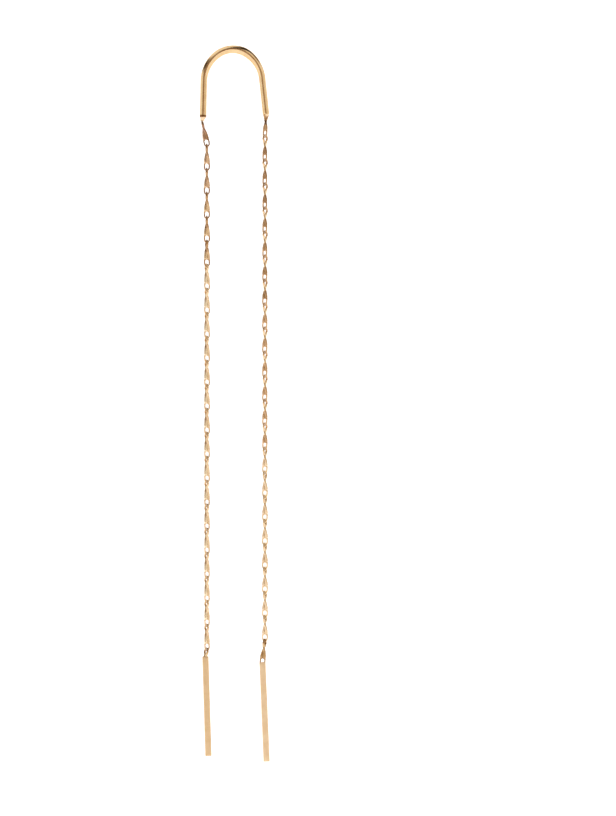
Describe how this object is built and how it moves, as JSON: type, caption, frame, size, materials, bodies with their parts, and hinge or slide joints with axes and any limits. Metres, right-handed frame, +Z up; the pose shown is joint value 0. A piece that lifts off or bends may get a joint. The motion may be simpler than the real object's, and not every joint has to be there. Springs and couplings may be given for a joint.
{
  "type": "chain earring",
  "caption": "Drop earring: a round-wire arch that hangs in the pierced lobe, a fine twisted-link chain from each of its legs, and a slim flat bar on the end of each chain.",
  "frame": {"origin": "the underside of the arch's crown, where the earring rests in the lobe's hole and hangs from it", "axes": "+Z up along the hanging strands; +X to the right as the arch is seen from the front, with the strand whose bar hangs a little higher at -X; -Y faces the viewer, across the arch's flat plane"},
  "size_m": [0.0107, 0.0012, 0.1092],
  "materials": {
    "polished_gold": "polished gold",
    "link_gold": "bright gold",
    "satin_gold": "satin gold"
  },
  "bodies": {
    "root": {"ear_arch": "polished_gold", "left_link_02": "link_gold", "left_link_03": "link_gold", "left_link_04": "link_gold", "left_link_05": "link_gold", "left_link_06": "link_gold", "left_link_07": "link_gold", "left_link_08": "link_gold", "left_link_09": "link_gold", "left_link_10": "link_gold", "left_link_11": "link_gold", "left_link_12": "link_gold", "left_link_13": "link_gold", "left_link_14": "link_gold", "left_link_15": "link_gold", "left_link_16": "link_gold", "left_link_17": "link_gold", "left_link_18": "link_gold", "left_link_19": "link_gold", "left_link_20": "link_gold", "left_link_21": "link_gold", "left_link_22": "link_gold", "right_link_02": "link_gold", "right_link_03": "link_gold", "right_link_04": "link_gold", "right_link_05": "link_gold", "right_link_06": "link_gold", "right_link_07": "link_gold", "right_link_08": "link_gold", "right_link_09": "link_gold", "right_link_10": "link_gold", "right_link_11": "link_gold", "right_link_12": "link_gold", "right_link_13": "link_gold", "right_link_14": "link_gold", "right_link_15": "link_gold", "right_link_16": "link_gold", "right_link_17": "link_gold", "right_link_18": "link_gold", "right_link_19": "link_gold", "right_link_20": "link_gold", "right_link_21": "link_gold", "right_link_22": "link_gold", "left_bar": "satin_gold", "right_bar": "satin_gold"}
  },
  "joints": []
}
